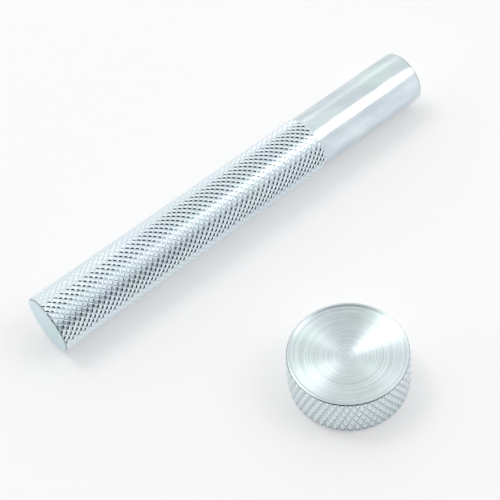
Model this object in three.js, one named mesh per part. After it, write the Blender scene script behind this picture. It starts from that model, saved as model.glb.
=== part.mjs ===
// Two-piece hand setting tool for snap fasteners and cap rivets, in millimetres, +Z up.
// The anvil stands on its flat base at the origin. The setter rod lies beside it on the same
// surface, along +X, with its striking face at the low-X end and its working face at the high-X end.
import * as THREE from 'three';

// Anvil: a short round bar slice, knurled on its side and dished on top.
const anvilHeight = 9.5;
const anvilCrestRadius = 12.3;
const anvilEdgeBevel = 0.4;
const anvilRimWidth = 0.35;
const dishBevelWidth = 0.45;
const dishBevelDrop = 0.25;
const dishDepth = 1.35;

// Setter rod: half-inch bar, four inches long, knurled over the hand's part of its length.
const rodLength = 101.6;
const rodStockRadius = 6.35;
const rodCrestRadius = 6.55;
const knurlLength = 71.5;
const strikingChamfer = 0.25;
const workingChamfer = 0.4;
const cupRadius = 4.8;
const cupDepth = 1.8;
const cupSteps = 6;

// Where the rod lies beside the anvil.
const rodStartX = -38.6;
const rodAxisY = 49.0;

// Both counts divide by four, so a corner line of the polygon touches the surface underneath.
const anvilSegments = 144;
const rodSegments = 96;

const zincPlate = { color: 0xc7cfd1, metalness: 1.0, roughness: 0.32 };

// A profile is a list of [radius, distance along the turning axis] that starts and ends on the axis.
function turned(name, profile, segments) {
  const points = profile.map(([radius, along]) => new THREE.Vector2(radius, along));
  const geometry = new THREE.LatheGeometry(points, segments);
  const mesh = new THREE.Mesh(geometry, new THREE.MeshStandardMaterial(zincPlate));
  mesh.name = name;
  return mesh;
}

function makeAnvil() {
  const rimOuter = anvilCrestRadius - anvilEdgeBevel;
  const rimInner = rimOuter - anvilRimWidth;
  const profile = [
    [0, 0],
    [rimOuter, 0],
    [anvilCrestRadius, anvilEdgeBevel],
    [anvilCrestRadius, anvilHeight - anvilEdgeBevel],
    [rimOuter, anvilHeight],
    [rimInner, anvilHeight],
    [rimInner - dishBevelWidth, anvilHeight - dishBevelDrop],
    [0, anvilHeight - dishDepth],
  ];
  const anvil = turned('anvil', profile, anvilSegments);
  anvil.rotation.x = Math.PI / 2;
  return anvil;
}

// The cup is a spherical cap sunk into the working face, from its edge in to the axis.
function cupProfile() {
  const sphereRadius = (cupRadius ** 2 + cupDepth ** 2) / (2 * cupDepth);
  const halfAngle = Math.asin(cupRadius / sphereRadius);
  const centre = rodLength - cupDepth + sphereRadius;
  const points = [];
  for (let step = 0; step < cupSteps; step += 1) {
    const angle = halfAngle * (1 - step / cupSteps);
    points.push([sphereRadius * Math.sin(angle), centre - sphereRadius * Math.cos(angle)]);
  }
  points.push([0, rodLength - cupDepth]);
  return points;
}

function makeSetterRod() {
  const knurlRunout = rodCrestRadius - rodStockRadius;
  const profile = [
    [0, 0],
    [rodCrestRadius - strikingChamfer, 0],
    [rodCrestRadius, strikingChamfer],
    [rodCrestRadius, knurlLength - knurlRunout],
    [rodStockRadius, knurlLength],
    [rodStockRadius, rodLength - workingChamfer],
    [rodStockRadius - workingChamfer, rodLength],
    ...cupProfile(),
  ];
  const rod = turned('setter_rod', profile, rodSegments);
  rod.rotation.z = -Math.PI / 2;
  rod.position.set(rodStartX, rodAxisY, rodCrestRadius);
  return rod;
}

const tool = new THREE.Group();
tool.add(makeAnvil(), makeSetterRod());

export default tool;
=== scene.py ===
"""Looks for a two-piece hand setting tool: a knurled setter rod lying beside a knurled, dished anvil.

Both pieces are turned, diamond-knurled and zinc-plated steel bar. Each CAD node is replaced by one
closed mesh that holds the real knurl, its worn patch, the bevels and the turning rings. Lengths are in
metres.
"""

import math

import bmesh
import bpy
import numpy as np
from mathutils import Matrix, Vector


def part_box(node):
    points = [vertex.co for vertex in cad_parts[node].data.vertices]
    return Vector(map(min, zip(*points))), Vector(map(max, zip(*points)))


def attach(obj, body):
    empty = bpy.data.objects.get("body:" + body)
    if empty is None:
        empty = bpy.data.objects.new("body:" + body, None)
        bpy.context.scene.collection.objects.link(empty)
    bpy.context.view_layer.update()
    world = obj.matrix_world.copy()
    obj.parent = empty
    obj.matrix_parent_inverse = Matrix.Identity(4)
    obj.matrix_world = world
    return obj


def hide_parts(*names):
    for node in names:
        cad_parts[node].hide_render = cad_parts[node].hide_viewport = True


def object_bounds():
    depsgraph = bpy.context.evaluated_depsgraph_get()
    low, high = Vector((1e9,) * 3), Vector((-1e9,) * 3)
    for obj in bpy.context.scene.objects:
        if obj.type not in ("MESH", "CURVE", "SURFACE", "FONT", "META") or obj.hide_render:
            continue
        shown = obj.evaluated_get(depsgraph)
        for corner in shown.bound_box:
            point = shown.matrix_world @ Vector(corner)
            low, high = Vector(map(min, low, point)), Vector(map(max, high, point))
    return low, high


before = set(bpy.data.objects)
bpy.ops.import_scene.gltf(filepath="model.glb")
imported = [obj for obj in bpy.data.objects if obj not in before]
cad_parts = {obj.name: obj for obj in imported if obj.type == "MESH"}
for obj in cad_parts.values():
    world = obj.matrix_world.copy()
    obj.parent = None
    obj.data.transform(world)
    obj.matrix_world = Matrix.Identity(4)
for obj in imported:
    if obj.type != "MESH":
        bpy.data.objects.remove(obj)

CAD_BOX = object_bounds()
MM = 0.001

# Setter rod, along +X from its striking face.
ROD_LOW, ROD_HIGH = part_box("setter_rod")
ROD_LENGTH = ROD_HIGH.x - ROD_LOW.x
ROD_CREST = (ROD_HIGH.z - ROD_LOW.z) / 2
KNURL_RISE = 0.2 * MM
ROD_STOCK = ROD_CREST - KNURL_RISE
ROD_STARTS = 28
ROD_PITCH = 1.53 * MM
ROD_GROOVE = 0.21 * MM
ROD_TWIST = 0
KNURL_LENGTH = 71.5 * MM
KNURL_RUNOUT = 0.5 * MM
# The knurl's end wanders round the rod as a sum of waves: height, waves per turn, start.
KNURL_END_WAVES = ((0.12 * MM, 3, 1), (0.1 * MM, 11, 0))
STRIKING_CHAMFER = 0.25 * MM
STRIKING_FACE_RINGS = (0.33, 0.66, 0.97)
WORKING_CHAMFER = 0.4 * MM
SHANK_RINGS = 9
# The shank's rings end this far short of the working edge.
SHANK_STOP = 0.12 * MM
# The rounded chamfer of the working edge: how far in from the shank, how far back from the face.
WORKING_EDGE = (
    (0.01 * MM, WORKING_CHAMFER),
    (0.05 * MM, WORKING_CHAMFER - 0.06 * MM),
    (WORKING_CHAMFER - 0.05 * MM, 0.04 * MM),
    (WORKING_CHAMFER + 0.03 * MM, 0),
)
CUP_LIP = 0.08 * MM
CUP_RADIUS = 4.8 * MM
CUP_DEPTH = 1.8 * MM
CUP_RINGS = 12

# A worn patch of the rod's knurl: its angle from straight up, its reach, and its fully worn core.
WORN_ANGLE = math.radians(-15)
WORN_HALF_ANGLE = math.radians(32)
WORN_LENGTH = 38 * MM
WORN_CORE_ANGLE = 0.4 * WORN_HALF_ANGLE
WORN_CORE_LENGTH = 0.3 * WORN_LENGTH
WORN_SHARE = 0.38

# Anvil, standing on its flat base at the origin.
ANVIL_LOW, ANVIL_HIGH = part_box("anvil")
ANVIL_CREST = (ANVIL_HIGH.x - ANVIL_LOW.x) / 2
ANVIL_HEIGHT = ANVIL_HIGH.z - ANVIL_LOW.z
ANVIL_STARTS = 52
ANVIL_PITCH = 3.03 * MM
ANVIL_GROOVE = 0.34 * MM
ANVIL_TWIST = 6.0
ANVIL_EDGE = 0.4 * MM
ANVIL_BEVEL = 0.15 * MM
ANVIL_SHOULDER = 0.6 * MM
ANVIL_RUNOUT = 0.3 * MM
BASE_RINGS = (0.33, 0.66, 0.985)
RIM_WIDTH = 0.35 * MM
DISH_BEVEL_WIDTH = 0.45 * MM
DISH_BEVEL_DROP = 0.25 * MM
# Where the dish's bevel bends, as shares of its width and of its drop.
DISH_BEVEL_BEND = (0.5, 0.6)
DISH_DEPTH = 1.35 * MM
DISH_CURVE = 1.25
DISH_RINGS = 150
DISH_COLUMNS = 240
RING_HEIGHT = 0.006 * MM
RING_SEED = 11
# The rings fade out towards the middle, between these shares of the dish's radius.
RING_FADE = (0.05, 0.25)

# The turning marks stretch the highlights less, and the metal is duller, towards the dish's heart.
# DISH_FINISH is an anisotropy and a brightness; a band has its outer radius in front of them.
DISH_HEART = 1.1 * MM
DISH_FINISH = (0.93, 1.05)
DISH_BANDS = (
    (1.6 * MM, 0.35, 0.88),
    (2.3 * MM, 0.55, 0.92),
    (3.1 * MM, 0.72, 0.97),
    (4.2 * MM, 0.84, 1.0),
    (5.6 * MM, 0.9, 1.03),
)

# Half a groove: distances from its middle in pitches, and depth there as a share of the full depth.
ROD_PROFILE = ((0.05, 1.0), (0.28, 0.0))
ANVIL_PROFILE = ((0.08, 1.0), (0.38, 0.0))

# Deeper than GROOVE_SHARE of a groove, a face takes the groove bottoms' darker colour, painted shade;
# above CREST_SHARE, the crests' lighter colour, a painted highlight.
GROOVE_SHARE = 0.8
CREST_SHARE = 0.1
SHARP_ANGLE = math.radians(25)

# Material slots. HEART is the heart of the anvil's dish, or the cup and flat of the rod's working face.
# The groove slot is painted darker, as painted shade, and the crest slot lighter, as a painted highlight.
WALL, TURNED, FACED, SHADED_EDGE, SHADED_GROOVE, LIT_CREST, HEART, FIRST_BAND = range(8)

# Slack in comparisons: of phases and depth shares, of whole turns, and of metres along the axis.
LATTICE_SLACK = 1e-6
TURN_SLACK = 1e-9
CUT_SLACK = 0.01 * MM
MERGE_DISTANCE = 1e-8


# ---------------------------------------------------------------- knurl

def groove_distance(phase):
    """How far a phase is from the nearest groove middle, from 0 to 0.5 of a pitch."""
    return np.abs(phase - np.round(phase))


def knurl_depth(u, v, profile):
    """Depth below the crests as a share of full depth: two sets of grooves cross, the deeper wins."""
    nearest = np.minimum(groove_distance(u), groove_distance(v))
    distances, shares = zip(*profile)
    return np.interp(nearest, distances, shares)


def knurl_sheet(crest, groove, profile, starts, pitch, twist, low, high):
    """An open knurled tube along +Z, meshed along its own grooves, that overshoots low and high.

    Lines of the lattice lie on every crease of the groove profile. Each line of one set is crossed by
    each line of the other, and a cell that holds a pit corner is split along the crease it needs.
    """
    offsets = sorted([-d for d, _ in profile] + [d for d, _ in profile])
    lines = len(offsets)
    offsets = np.array(offsets)

    def phase(index):
        return index // lines + offsets[index % lines]

    first = int((low / pitch - 2) * lines) - starts * lines
    last = int((high / pitch + 2) * lines) + starts * lines
    i, j = np.meshgrid(np.arange(first, last), np.arange(first, last), indexing="ij")
    along = (phase(i) + phase(j)) / 2 * pitch
    around = (phase(i) - phase(j)) / 2
    one_turn = (around > -LATTICE_SLACK) & (around < starts - LATTICE_SLACK)
    inside = one_turn & (along > low - pitch) & (along < high + pitch)
    i, j = i[inside], j[inside]
    corners = []
    for di, dj in ((0, 0), (1, 0), (1, 1), (0, 1)):
        turn = np.floor((phase(i + di) - phase(j + dj)) / 2 / starts + TURN_SLACK).astype(int)
        corners.append(np.stack([i + di - turn * starts * lines, j + dj + turn * starts * lines], -1))
    flat = np.concatenate(corners)
    keys, index = np.unique(flat, axis=0, return_inverse=True)
    a, b, c, d = index.reshape(4, -1)
    u, v = phase(keys[:, 0]), phase(keys[:, 1])
    depth = knurl_depth(u, v, profile)
    crossing = np.abs(depth[b] - depth[d]) > np.abs(depth[a] - depth[c]) + LATTICE_SLACK
    crossing = crossing[:, None]
    one = np.where(crossing, np.stack([a, b, d], -1), np.stack([a, b, c], -1))
    two = np.where(crossing, np.stack([b, c, d], -1), np.stack([a, c, d], -1))
    along = (u + v) / 2 * pitch
    angle = (u - v) / 2 / starts * 2 * math.pi - twist * along
    points = cylinder_points(crest - groove * depth, angle, along)
    return points, np.concatenate([one, two])


def cut_sheet(points, faces, cuts):
    """Cut a sheet square to its axis at each station, and drop what lies outside the first and last."""
    mesh = bmesh.new()
    made = [mesh.verts.new(point) for point in points.tolist()]
    for face in faces.tolist():
        mesh.faces.new([made[k] for k in face])
    for station in cuts:
        everything = mesh.verts[:] + mesh.edges[:] + mesh.faces[:]
        bmesh.ops.bisect_plane(
            mesh, geom=everything, dist=MERGE_DISTANCE, plane_co=(0, 0, station), plane_no=(0, 0, 1),
            clear_inner=station == cuts[0], clear_outer=station == cuts[-1],
        )
    mesh.verts.index_update()
    points = np.array([v.co[:] for v in mesh.verts])
    faces = [[v.index for v in face.verts] for face in mesh.faces]
    rims = []
    for station in (cuts[0], cuts[-1]):
        rim = [v.index for v in mesh.verts if v.is_boundary and abs(v.co.z - station) < CUT_SLACK]
        points[rim, 2] = station
        rims.append(sorted(rim, key=lambda k: math.atan2(points[k, 1], points[k, 0])))
    mesh.free()
    return points, faces, rims


def knurl_slots(points, faces, crest, groove, low, high, beyond):
    """The material of each face of a knurled sheet: a bevel painted darker below low, something else
    beyond high, and between them a groove bottom painted darker as painted shade, a crest painted lighter
    as a painted highlight, or a plain wall.
    """
    share = (crest - polar(points)[0]) / groove
    slots = []
    for face in faces:
        depth = share[face].mean()
        station = points[face, 2].mean()
        if station < low:
            # Faces below low take the edge colour, painted darker: painted shade and a painted dark
            # reflection.
            slots.append(SHADED_EDGE)
        elif station > high:
            slots.append(beyond)
        elif depth > GROOVE_SHARE:
            slots.append(SHADED_GROOVE)
        elif depth < CREST_SHARE:
            slots.append(LIT_CREST)
        else:
            slots.append(WALL)
    return slots


def smoothstep(low, high, value):
    """0 at low, 1 at high and smooth between them; low may be the larger number."""
    t = np.clip((value - low) / (high - low), 0, 1)
    return t * t * (3 - 2 * t)


def cylinder_points(radius, angle, along):
    """Points round the Z axis from their radii, angles and heights."""
    radius = np.broadcast_to(radius, angle.shape)
    along = np.broadcast_to(along, angle.shape)
    return np.stack([radius * np.cos(angle), radius * np.sin(angle), along], -1)


def polar(points):
    """Radii and angles of points round the Z axis."""
    return np.hypot(points[:, 0], points[:, 1]), np.arctan2(points[:, 1], points[:, 0])


def stitch(low, low_angles, high, high_angles):
    """Triangles between two rings that don't have the same number of points."""
    low_ends = np.append(low_angles[1:], low_angles[0] + 2 * math.pi)
    high_ends = np.append(high_angles[1:], high_angles[0] + 2 * math.pi)
    faces = []
    i = j = 0
    while i < len(low) or j < len(high):
        if j == len(high) or (i < len(low) and low_ends[i] <= high_ends[j]):
            faces.append((low[i], low[(i + 1) % len(low)], high[j % len(high)]))
            i += 1
        else:
            faces.append((low[i % len(low)], high[(j + 1) % len(high)], high[j]))
            j += 1
    return faces


# ---------------------------------------------------------------- turned solids

class Turned:
    """A closed body of revolution, built ring by ring along local +Z and starting on the axis."""

    def __init__(self, start, angles):
        self.points = [np.array([[0.0, 0.0, start]])]
        self.faces = []
        self.slots = []
        self.count = 1
        self.last = [0]
        self.angles = angles

    def add_points(self, points):
        """Add points and return the index of the first."""
        first = self.count
        self.points.append(points)
        self.count += len(points)
        return first

    def add_faces(self, faces, slot):
        self.faces.extend(faces)
        self.slots.extend([slot] * len(faces))

    def join(self, ring, angles, slot):
        """Faces from the last ring, or the pole, to a ring of points at these angles."""
        last, n = self.last, len(ring)
        if len(last) == 1:
            faces = [(last[0], ring[(k + 1) % n], ring[k]) for k in range(n)]
        elif len(last) == n:
            faces = [(last[k], last[(k + 1) % n], ring[(k + 1) % n], ring[k]) for k in range(n)]
        else:
            faces = stitch(last, self.angles, ring, angles)
        self.add_faces(faces, slot)
        self.last = ring
        self.angles = angles

    def ring(self, radius, along, slot, angles=None):
        """A plain ring, joined to the one before it."""
        angles = self.angles if angles is None else angles
        first = self.add_points(cylinder_points(radius, angles, along))
        self.join(list(range(first, first + len(angles))), angles, slot)

    def sheet(self, points, faces, rims, joint_slot, slots):
        """A cut knurled sheet, joined by its lower rim; its upper rim is where the next ring joins."""
        first = self.add_points(points)
        self.join([first + k for k in rims[0]], polar(points[rims[0]])[1], joint_slot)
        for face, slot in zip(faces, slots):
            self.add_faces([[first + k for k in face]], slot)
        self.last = [first + k for k in rims[1]]
        self.angles = polar(points[rims[1]])[1]

    def close(self, along, slot):
        """The last point, on the axis."""
        pole = self.add_points(np.array([[0.0, 0.0, along]]))
        last, n = self.last, len(self.last)
        self.add_faces([(last[k], last[(k + 1) % n], pole) for k in range(n)], slot)

    def piece(self, name, place, materials):
        """The finished mesh object, moved to its place in the shared frame."""
        data = bpy.data.meshes.new(name)
        data.from_pydata(np.concatenate(self.points).tolist(), [], self.faces)
        data.polygons.foreach_set("material_index", self.slots)
        data.polygons.foreach_set("use_smooth", [True] * len(data.polygons))
        data.set_sharp_from_angle(angle=SHARP_ANGLE)
        data.transform(place)
        data.update()
        for material in materials:
            data.materials.append(material)
        made = bpy.data.objects.new(name, data)
        bpy.context.scene.collection.objects.link(made)
        return made


# ---------------------------------------------------------------- setter rod

def worn_patch(angle, along):
    """1 in the core of the worn patch on top of the rod by its striking face, fading to 0 around it."""
    turn = np.angle(np.exp(1j * (angle - math.pi - WORN_ANGLE)))
    around = smoothstep(WORN_HALF_ANGLE, WORN_CORE_ANGLE, np.abs(turn))
    return around * smoothstep(WORN_LENGTH, WORN_CORE_LENGTH, along)


def rod_knurl():
    """The rod's knurl, chamfered at the striking face and fading raggedly into the shank."""
    end = KNURL_LENGTH + KNURL_RUNOUT
    points, faces = knurl_sheet(
        ROD_CREST, ROD_GROOVE, ROD_PROFILE, ROD_STARTS, ROD_PITCH, ROD_TWIST, 0, end,
    )
    cuts = (0, STRIKING_CHAMFER, KNURL_LENGTH - KNURL_RUNOUT, KNURL_LENGTH, end)
    points, faces, rims = cut_sheet(points, faces, cuts)
    slots = knurl_slots(points, faces, ROD_CREST, ROD_GROOVE, STRIKING_CHAMFER, KNURL_LENGTH, TURNED)
    radius, angle = polar(points)
    along = points[:, 2]
    radius = ROD_CREST - (ROD_CREST - radius) * (1 - WORN_SHARE * worn_patch(angle, along))
    ragged_end = KNURL_LENGTH + sum(h * np.sin(n * angle + start) for h, n, start in KNURL_END_WAVES)
    half_fade = 0.6 * KNURL_RUNOUT
    fade = 1 - smoothstep(-half_fade, half_fade, along - ragged_end)
    radius = ROD_STOCK + (radius - ROD_STOCK) * fade
    radius = np.minimum(radius, ROD_CREST - STRIKING_CHAMFER + along)
    radius[rims[1]] = ROD_STOCK
    return cylinder_points(radius, angle, along), faces, rims, slots


def add_cup(rod):
    """The shallow round cup in the working face, down to its middle."""
    sphere = (CUP_RADIUS ** 2 + CUP_DEPTH ** 2) / (2 * CUP_DEPTH)
    half_angle = math.asin(CUP_RADIUS / sphere)
    centre = ROD_LENGTH - CUP_DEPTH + sphere
    for k in range(CUP_RINGS):
        angle = half_angle * (1 - k / CUP_RINGS)
        rod.ring(sphere * math.sin(angle), centre - sphere * math.cos(angle), HEART)
    rod.close(ROD_LENGTH - CUP_DEPTH, HEART)


def make_rod():
    """Striking face, knurl, shank, working edge and cup, laid down along +X."""
    points, faces, rims, slots = rod_knurl()
    rod = Turned(0, polar(points[rims[0]])[1])
    for share in STRIKING_FACE_RINGS:
        rod.ring((ROD_CREST - STRIKING_CHAMFER) * share, 0, FACED)
    rod.sheet(points, faces, rims, FACED, slots)
    shank_start = KNURL_LENGTH + KNURL_RUNOUT
    shank_end = ROD_LENGTH - WORKING_CHAMFER - SHANK_STOP
    for station in np.linspace(shank_start, shank_end, SHANK_RINGS)[1:]:
        rod.ring(ROD_STOCK, station, TURNED)
    for inset, setback in WORKING_EDGE:
        rod.ring(ROD_STOCK - inset, ROD_LENGTH - setback, SHADED_EDGE)
    rod.ring(CUP_RADIUS + CUP_LIP, ROD_LENGTH, HEART)
    add_cup(rod)
    lie_down = Matrix.Rotation(math.radians(90), 4, "Y")
    place = Matrix.Translation((ROD_LOW.x, (ROD_LOW.y + ROD_HIGH.y) / 2, ROD_LOW.z + ROD_CREST))
    return rod.piece("setter_rod_body", place @ lie_down, rod_materials())


# ---------------------------------------------------------------- anvil

def anvil_knurl():
    """The anvil's knurl: it draws in to a shoulder, then a small bevel, at its two edges."""
    points, faces = knurl_sheet(
        ANVIL_CREST, ANVIL_GROOVE, ANVIL_PROFILE, ANVIL_STARTS, ANVIL_PITCH, ANVIL_TWIST,
        0, ANVIL_HEIGHT,
    )
    shoulder = ANVIL_BEVEL + ANVIL_SHOULDER
    upper = ANVIL_HEIGHT - ANVIL_BEVEL
    cuts = (0, ANVIL_BEVEL, shoulder, ANVIL_HEIGHT - shoulder, upper, ANVIL_HEIGHT)
    points, faces, rims = cut_sheet(points, faces, cuts)
    slots = knurl_slots(points, faces, ANVIL_CREST, ANVIL_GROOVE, ANVIL_BEVEL, upper, SHADED_EDGE)
    radius, angle = polar(points)
    along = points[:, 2]
    from_edge = np.minimum(along, ANVIL_HEIGHT - along)
    fade = smoothstep(0.5 * ANVIL_BEVEL, ANVIL_BEVEL + ANVIL_RUNOUT, from_edge)
    edge = ANVIL_CREST - ANVIL_EDGE
    outline = np.interp(from_edge, (0, ANVIL_BEVEL, shoulder), (edge, edge + ANVIL_BEVEL, ANVIL_CREST))
    radius = outline - (ANVIL_CREST - radius) * fade
    return cylinder_points(radius, angle, along), faces, rims, slots


def dish_profile():
    """Radii and heights of the dish floor, from its bevel inwards, with fine uneven turning rings."""
    rim_inner = ANVIL_CREST - ANVIL_EDGE - RIM_WIDTH
    edge = rim_inner - DISH_BEVEL_WIDTH
    radius = edge * (1 - np.arange(1, DISH_RINGS) / DISH_RINGS)
    share = radius / edge
    height = ANVIL_HEIGHT - DISH_DEPTH + (DISH_DEPTH - DISH_BEVEL_DROP) * share ** DISH_CURVE
    random = np.random.default_rng(RING_SEED)
    fade = smoothstep(*RING_FADE, share)
    rings = np.convolve(random.normal(size=DISH_RINGS + 1), np.ones(3) / 3, "valid")
    return radius, height + RING_HEIGHT * rings * fade


def dish_slot(radius):
    """The material slot of the dish at a radius."""
    if radius < DISH_HEART:
        return HEART
    for k, (limit, _, _) in enumerate(DISH_BANDS):
        if radius < limit:
            return FIRST_BAND + k
    return TURNED


def make_anvil():
    """Flat base, knurled side, rim and dish, built upwards and then inwards."""
    points, faces, rims, slots = anvil_knurl()
    anvil = Turned(0, polar(points[rims[0]])[1])
    edge = ANVIL_CREST - ANVIL_EDGE
    for share in BASE_RINGS:
        anvil.ring(edge * share, 0, FACED)
    anvil.sheet(points, faces, rims, FACED, slots)
    rim_inner = edge - RIM_WIDTH
    even = -math.pi + np.arange(DISH_COLUMNS) * 2 * math.pi / DISH_COLUMNS
    anvil.ring(rim_inner, ANVIL_HEIGHT, TURNED, even)
    for inward, down in (DISH_BEVEL_BEND, (1, 1)):
        anvil.ring(rim_inner - inward * DISH_BEVEL_WIDTH, ANVIL_HEIGHT - down * DISH_BEVEL_DROP, TURNED)
    for r, z in zip(*dish_profile()):
        anvil.ring(r, z, dish_slot(r))
    anvil.close(ANVIL_HEIGHT - DISH_DEPTH, HEART)
    return anvil.piece("anvil_body", Matrix.Translation((0, 0, ANVIL_LOW.z)), anvil_materials())


# ---------------------------------------------------------------- materials

ZINC = np.array([0.635, 0.712, 0.722])
CYAN_ZINC = np.array([0.605, 0.738, 0.768])
GREENISH = np.array([0.985, 1.01, 0.99])
LILAC = np.array([1.01, 0.985, 1.055])
PATCH_SCALE = 110
GRAIN_SCALE = 700
# The parts of the noise's 0 to 1 that are spread over a whole change of colour, and of tone or shine.
COLOUR_SPAN = (0.35, 0.65)
TONE_SPAN = (0.3, 0.7)
RING_SCALE = 5000
RING_DRIFT = 0.012
RING_TONES = (0.88, 1.1)
QUARTER_TURN = 0.25

# Rub marks on the shank: a slanting pattern. One side is painted lighter beyond a line along the rod, a
# painted reflection.
SMEAR_SLANT = math.radians(22)
SMEAR_TONES = (0.92, 1.07)
SMEAR_HEIGHT = 0.05 * MM
RING_SHARE = 0.15
PAINTED_SIDE_ACROSS = (0.03, -1, 0)
PAINTED_SIDE_LINE = (-42.5 * MM, -41.5 * MM)
PAINTED_SIDE_TONE = 1.13


def node(tree, kind, settings=None, *values, **sockets):
    """Add a node. Sockets, in order or by name, get a number or colour, or another node's output."""
    made = tree.nodes.new(kind)
    for name, value in (settings or {}).items():
        setattr(made, name, value)
    named = {name.replace("_", " "): value for name, value in sockets.items()}
    for key, value in [*enumerate(values), *named.items()]:
        if isinstance(value, bpy.types.NodeSocket):
            tree.links.new(value, made.inputs[key])
        else:
            made.inputs[key].default_value = value
    return made


def calculate(tree, operation, *values):
    """A sum, product or the like of numbers."""
    return node(tree, "ShaderNodeMath", {"operation": operation}, *values).outputs["Value"]


def dot(tree, vector, axis):
    """How far a vector reaches along an axis."""
    return node(tree, "ShaderNodeVectorMath", {"operation": "DOT_PRODUCT"}, vector, axis).outputs["Value"]


def noise(tree, place, stretch, scale, detail):
    """Noise from 0 to 1 in the object's own space, stretched by a factor along each axis."""
    moved = node(tree, "ShaderNodeMapping", Vector=place, Scale=stretch).outputs["Vector"]
    return node(tree, "ShaderNodeTexNoise", Vector=moved, Scale=scale, Detail=detail).outputs["Fac"]


def spread(tree, value, start, end, low, high):
    """Map start..end to low..high, smoothly and without going past either."""
    made = node(
        tree, "ShaderNodeMapRange", {"interpolation_type": "SMOOTHSTEP"},
        Value=value, From_Min=start, From_Max=end, To_Min=low, To_Max=high,
    )
    return made.outputs["Result"]


def mixed(tree, factor, first, second):
    """A colour between two others."""
    made = node(
        tree, "ShaderNodeMix", {"data_type": "RGBA"}, Factor=factor, A=(*first, 1), B=(*second, 1),
    )
    return made.outputs["Result"]


def toned(tree, colour, tone):
    """A colour made lighter or darker by a value."""
    made = node(tree, "ShaderNodeVectorMath", {"operation": "SCALE"}, Vector=colour, Scale=tone)
    return made.outputs["Vector"]


def zinc(name, brightness, roughness, lilac=0.5, wear=0.15, tint=1.0, plate=ZINC):
    """Bright zinc plate: it drifts between greenish and lilac, and its shine is a little uneven.

    lilac says how far it leans to lilac, wear how uneven the shine is, and tint how strong the hue is.
    """
    material = bpy.data.materials.new(name)
    material.use_nodes = True
    tree = material.node_tree
    shader = tree.nodes["Principled BSDF"]
    shader.inputs["Metallic"].default_value = 1
    place = node(tree, "ShaderNodeTexCoord").outputs["Object"]
    patches = spread(tree, noise(tree, place, (1, 1, 1), PATCH_SCALE, 2), *COLOUR_SPAN, 0, 1)
    middle = lilac * LILAC + (1 - lilac) * GREENISH
    greener = np.minimum(plate * brightness * (0.5 * (middle + GREENISH)) ** tint, 1)
    bluer = np.minimum(plate * brightness * (0.5 * (middle + LILAC)) ** tint, 1)
    tree.links.new(mixed(tree, patches, greener, bluer), shader.inputs["Base Color"])
    grain = noise(tree, place, (1, 1, 1), GRAIN_SCALE, 3)
    shine = spread(tree, grain, *TONE_SPAN, roughness * (1 - wear), roughness * (1 + wear))
    tree.links.new(shine, shader.inputs["Roughness"])
    return material


def ring_tones(material):
    """Fine light and dark turning rings round the anvil's axis, each a little uneven along its length."""
    tree = material.node_tree
    base = tree.nodes["Principled BSDF"].inputs["Base Color"]
    place = node(tree, "ShaderNodeTexCoord").outputs["Object"]
    flat = node(tree, "ShaderNodeVectorMath", {"operation": "MULTIPLY"}, place, (1, 1, 0))
    radius = node(tree, "ShaderNodeVectorMath", {"operation": "LENGTH"}, flat.outputs["Vector"])
    outward = node(tree, "ShaderNodeCombineXYZ", Z=radius.outputs["Value"]).outputs["Vector"]
    drift = node(tree, "ShaderNodeMapping", Vector=place, Scale=(RING_DRIFT, RING_DRIFT, 0))
    where = node(tree, "ShaderNodeVectorMath", {"operation": "ADD"}, drift.outputs["Vector"], outward)
    wave = node(tree, "ShaderNodeTexNoise", Vector=where.outputs["Vector"], Scale=RING_SCALE, Detail=2)
    tone = spread(tree, wave.outputs["Fac"], *TONE_SPAN, *RING_TONES)
    tree.links.new(toned(tree, base.links[0].from_socket, tone), base)
    return material


def turning_marks(material, anisotropy):
    """Stretch the highlights across the fine turning marks, which run round the Z axis."""
    tree = material.node_tree
    shader = tree.nodes["Principled BSDF"]
    shader.inputs["Anisotropic"].default_value = anisotropy
    shader.inputs["Anisotropic Rotation"].default_value = QUARTER_TURN
    tangent = node(tree, "ShaderNodeTangent", {"direction_type": "RADIAL", "axis": "Z"})
    tree.links.new(tangent.outputs["Tangent"], shader.inputs["Tangent"])
    return material


def smears(material):
    """Slanting rub marks on the shank, as faint tones and a slight unevenness, and one side painted
    lighter as a painted reflection.
    """
    tree = material.node_tree
    shader = tree.nodes["Principled BSDF"]
    base = shader.inputs["Base Color"]
    place = node(tree, "ShaderNodeTexCoord").outputs["Object"]
    slanted = node(tree, "ShaderNodeMapping", Vector=place, Rotation=(0, 0, SMEAR_SLANT))
    rubs = noise(tree, slanted.outputs["Vector"], (1, 5, 5), 70, 4)
    rings = noise(tree, place, (40, 1, 1), 90, 2)
    tone = spread(tree, rubs, *TONE_SPAN, *SMEAR_TONES)
    # One side of the shank is painted lighter: a painted reflection.
    side = spread(tree, dot(tree, place, PAINTED_SIDE_ACROSS), *PAINTED_SIDE_LINE, 1, PAINTED_SIDE_TONE)
    tree.links.new(toned(tree, toned(tree, base.links[0].from_socket, tone), side), base)
    height = calculate(tree, "MULTIPLY_ADD", rings, RING_SHARE, rubs)
    bump = node(tree, "ShaderNodeBump", Strength=0.5, Distance=SMEAR_HEIGHT, Height=height)
    tree.links.new(bump.outputs["Normal"], shader.inputs["Normal"])
    return material


def dish_zinc(name, anisotropy, brightness):
    """The finish of the dish: turning rings, and highlights stretched across them."""
    return turning_marks(ring_tones(zinc(name, brightness, 0.38, lilac=0.1, wear=0.05)), anisotropy)


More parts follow.
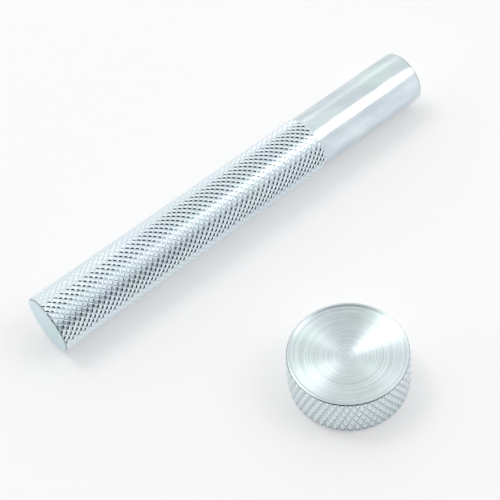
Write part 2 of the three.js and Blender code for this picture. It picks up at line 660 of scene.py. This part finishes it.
def rod_materials():
    """The rod's materials, in the order of the slots."""
    return [
        zinc("zinc_rod_knurl", 1.17, 0.2, lilac=0.75),
        smears(zinc("zinc_shank", 1.0, 0.15, lilac=0.4, tint=1.9)),
        zinc("zinc_rod_faces", 1.12, 0.35, lilac=0.0, plate=CYAN_ZINC),
        # Chamfers and bevels are painted darker: painted shade and a painted dark reflection along the
        # edges.
        zinc("zinc_rod_edges_painted_shade", 0.6, 0.3, lilac=0.6),
        # Groove bottoms are painted darker, as painted shade, and crests lighter, as a painted highlight.
        zinc("zinc_rod_grooves_painted_shade", 0.98, 0.24, lilac=1.0),
        zinc("zinc_rod_crests_painted_highlight", 1.29, 0.17, lilac=0.9),
        zinc("zinc_rod_cup", 1.05, 0.33),
    ]


def anvil_materials():
    """The anvil's materials, in the order of the slots."""
    return [
        zinc("zinc_anvil_knurl", 1.07, 0.2, lilac=0.6),
        dish_zinc("zinc_dish", *DISH_FINISH),
        zinc("zinc_anvil_base", 1.0, 0.3),
        # Chamfers and bevels are painted darker: painted shade and a painted dark reflection along the
        # edges.
        zinc("zinc_anvil_edges_painted_shade", 0.62, 0.3, lilac=0.8),
        # Groove bottoms are painted darker, as painted shade, and crests lighter, as a painted highlight.
        zinc("zinc_anvil_grooves_painted_shade", 0.84, 0.26, lilac=1.0),
        zinc("zinc_anvil_crests_painted_highlight", 1.5, 0.17, lilac=0.6),
        ring_tones(zinc("zinc_dish_heart", 0.85, 0.4, lilac=0.1)),
    ] + [dish_zinc(f"zinc_dish_band_{k}", *band[1:]) for k, band in enumerate(DISH_BANDS)]


# ---------------------------------------------------------------- stage

STAGE_CENTRE = Vector(((CAD_BOX[0].x + CAD_BOX[1].x) / 2, (CAD_BOX[0].y + CAD_BOX[1].y) / 2, 0))
LIGHT_DISTANCE = 0.7
FLOOR_HALF = 6
FLOOR_GREY = 0.58
FLOOR_GLOW = 0.378
# The darkest parts of the room are also a little blue.
DARK_TINT = (0.8, 1.0, 1.4)
ROOM_LEVEL = 0.99
GLOW_LEVEL = 0.24
DARK_LEVEL = 0.03
LOW_LEVEL = 0.4
# Oval parts of the room: azimuth, elevation, half width and half height, in degrees.
GLOW_PATCH = (60, 33, 26, 17)
DARK_PATCH = (-136, 36, 52, 33)
LOW_PATCH = (-92, 14, 24, 15)
# Where a dark patch starts to lighten and where it ends, as shares of its half width.
DARK_FADE = (0.88, 1.1)
LOW_FADE = (0.6, 1.2)


def towards(azimuth, elevation):
    """Unit vector to a place in the room, as seen from the tool: azimuth from +X towards +Y, degrees."""
    a, e = math.radians(azimuth), math.radians(elevation)
    return Vector((math.cos(a) * math.cos(e), math.sin(a) * math.cos(e), math.sin(e)))


def softbox(name, azimuth, elevation, width, height, power):
    """A rectangular light that faces the middle of the tool; sizes in metres, power in watts."""
    light = bpy.data.lights.new(name, "AREA")
    light.shape = "RECTANGLE"
    light.size = width
    light.size_y = height
    light.energy = power
    lamp = bpy.data.objects.new(name, light)
    direction = towards(azimuth, elevation)
    lamp.location = STAGE_CENTRE + direction * LIGHT_DISTANCE
    lamp.rotation_mode = "QUATERNION"
    lamp.rotation_quaternion = direction.to_track_quat("Z", "Y")
    bpy.context.scene.collection.objects.link(lamp)


def make_camera():
    """A camera above the tool's front left, slightly rolled."""
    azimuth = math.radians(-33.91)
    elevation = math.radians(51.20)
    roll = math.radians(-8.27)
    distance = 0.2808
    aim = STAGE_CENTRE + Vector((-5.1 * MM, 17.5 * MM, 0))
    back = Vector((
        math.sin(azimuth) * math.cos(elevation),
        -math.cos(azimuth) * math.cos(elevation),
        math.sin(elevation),
    ))
    data = bpy.data.cameras.new("camera")
    data.sensor_width = 36
    data.lens = 92.87
    data.clip_start = 0.01
    camera = bpy.data.objects.new("camera", data)
    camera.rotation_mode = "QUATERNION"
    level = back.to_track_quat("Z", "Y")
    camera.rotation_quaternion = level @ Matrix.Rotation(roll, 3, "Z").to_quaternion()
    camera.location = aim + back * distance
    bpy.context.scene.collection.objects.link(camera)
    bpy.context.scene.camera = camera


def make_floor():
    """A pale floor that glows a little, so that shadows on it stay pale."""
    half = FLOOR_HALF
    corners = [(-half, -half, 0), (half, -half, 0), (half, half, 0), (-half, half, 0)]
    data = bpy.data.meshes.new("floor")
    data.from_pydata(corners, [], [(0, 1, 2, 3)])
    material = bpy.data.materials.new("pale_floor")
    material.use_nodes = True
    shader = material.node_tree.nodes["Principled BSDF"]
    shader.inputs["Base Color"].default_value = (FLOOR_GREY, FLOOR_GREY, FLOOR_GREY, 1)
    shader.inputs["Emission Color"].default_value = (1, 1, 1, 1)
    shader.inputs["Emission Strength"].default_value = FLOOR_GLOW
    shader.inputs["Roughness"].default_value = 0.9
    shader.inputs["Specular IOR Level"].default_value = 0
    data.materials.append(material)
    floor = bpy.data.objects.new("floor", data)
    bpy.context.scene.collection.objects.link(floor)


def room_patch(tree, azimuth, elevation, half_width, half_height):
    """Distance from the middle of an oval patch of the room: 1 on its outline, more beyond it."""
    direction = node(tree, "ShaderNodeTexCoord").outputs["Generated"]
    centre = towards(azimuth, elevation)
    across = Vector((-math.sin(math.radians(azimuth)), math.cos(math.radians(azimuth)), 0))
    upward = centre.cross(across)
    x = calculate(tree, "DIVIDE", dot(tree, direction, across), math.sin(math.radians(half_width)))
    y = calculate(tree, "DIVIDE", dot(tree, direction, upward), math.sin(math.radians(half_height)))
    square = calculate(tree, "ADD", calculate(tree, "MULTIPLY", x, x), calculate(tree, "MULTIPLY", y, y))
    # The far half of the room is kept out of the patch by a large added distance.
    behind = spread(tree, dot(tree, direction, centre), 0.0, 0.1, 9, 0)
    return calculate(tree, "ADD", calculate(tree, "POWER", square, 0.5), behind)


def make_world():
    """A pale room: one part glows a little, and two parts round and beside the camera are darker."""
    world = bpy.data.worlds.new("studio")
    bpy.context.scene.world = world
    world.use_nodes = True
    tree = world.node_tree
    glow = spread(tree, room_patch(tree, *GLOW_PATCH), 0.0, 1.0, GLOW_LEVEL, 0)
    dark = spread(tree, room_patch(tree, *DARK_PATCH), *DARK_FADE, DARK_LEVEL, 1)
    low = spread(tree, room_patch(tree, *LOW_PATCH), *LOW_FADE, LOW_LEVEL, 1)
    light = calculate(tree, "ADD", glow, ROOM_LEVEL)
    level = calculate(tree, "MULTIPLY", light, calculate(tree, "MULTIPLY", dark, low))
    background = tree.nodes["Background"]
    tree.links.new(mixed(tree, dark, DARK_TINT, (1, 1, 1)), background.inputs["Color"])
    tree.links.new(level, background.inputs["Strength"])


# ---------------------------------------------------------------- the scene

make_camera()
make_floor()
make_world()
softbox("back_softbox", azimuth=106, elevation=61.5, width=0.19, height=0.25, power=0.9)
softbox("side_softbox", azimuth=-40, elevation=47, width=0.26, height=0.33, power=0.6)

rod = make_rod()
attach(rod, "setter_rod")
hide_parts("setter_rod")

anvil = make_anvil()
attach(anvil, "anvil")
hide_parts("anvil")

view = bpy.context.scene.view_settings
view.view_transform = "Standard"
view.look = "None"
